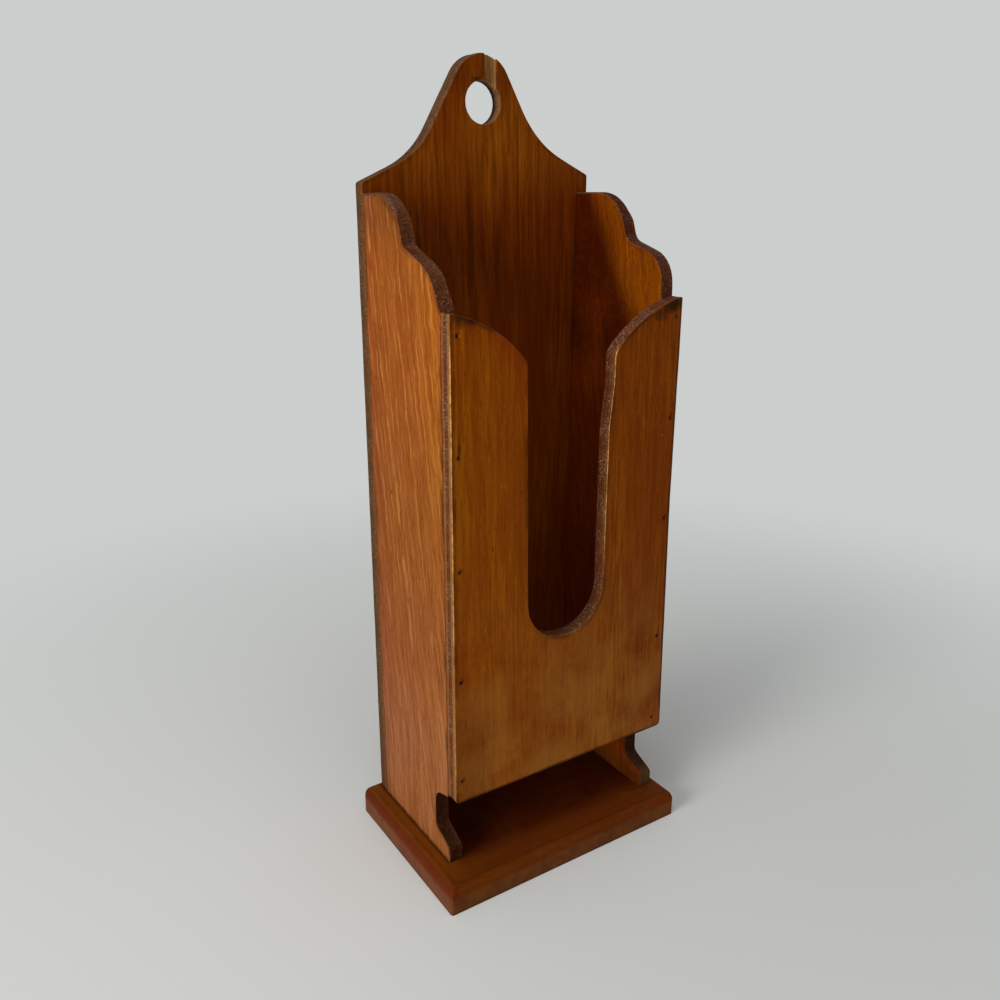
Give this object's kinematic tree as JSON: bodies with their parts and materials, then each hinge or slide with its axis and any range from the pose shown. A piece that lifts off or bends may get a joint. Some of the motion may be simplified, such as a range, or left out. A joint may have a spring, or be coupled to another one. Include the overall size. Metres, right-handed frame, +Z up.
{
  "type": "wall mail organizer",
  "caption": "Tall narrow wooden wall box for letters: bell-topped back board with hanging hole, scalloped sides, open-topped round-bottomed front slot, low front gap, rounded base board.",
  "frame": {"origin": "middle of the base board's underside, where the box stands on a table", "axes": "+Z up, the open front looks towards -Y, the back board's rear face looks towards +Y at the wall, +X to the right as seen from the front"},
  "size_m": [0.156, 0.1072, 0.4278],
  "materials": {
    "base_wood": "red-brown stain, satin, worn edges",
    "back_ply": "dark amber-brown stain with straight stripes, satin",
    "side_ply": "orange-brown stain with wavy grain, satin",
    "front_ply": "golden amber stain with fine streaks, satin, worn edges",
    "nail_steel": "dark, rusted"
  },
  "bodies": {
    "root": {"base_board": "base_wood", "back_board": "back_ply", "left_side": "side_ply", "right_side": "side_ply", "front_panel": "front_ply", "front_brads_left": "nail_steel", "front_brads_right": "nail_steel", "back_brads_left": "nail_steel", "back_brads_right": "nail_steel", "base_nails_left": "nail_steel", "base_nails_right": "nail_steel", "base_nails_back": "nail_steel"}
  },
  "joints": []
}
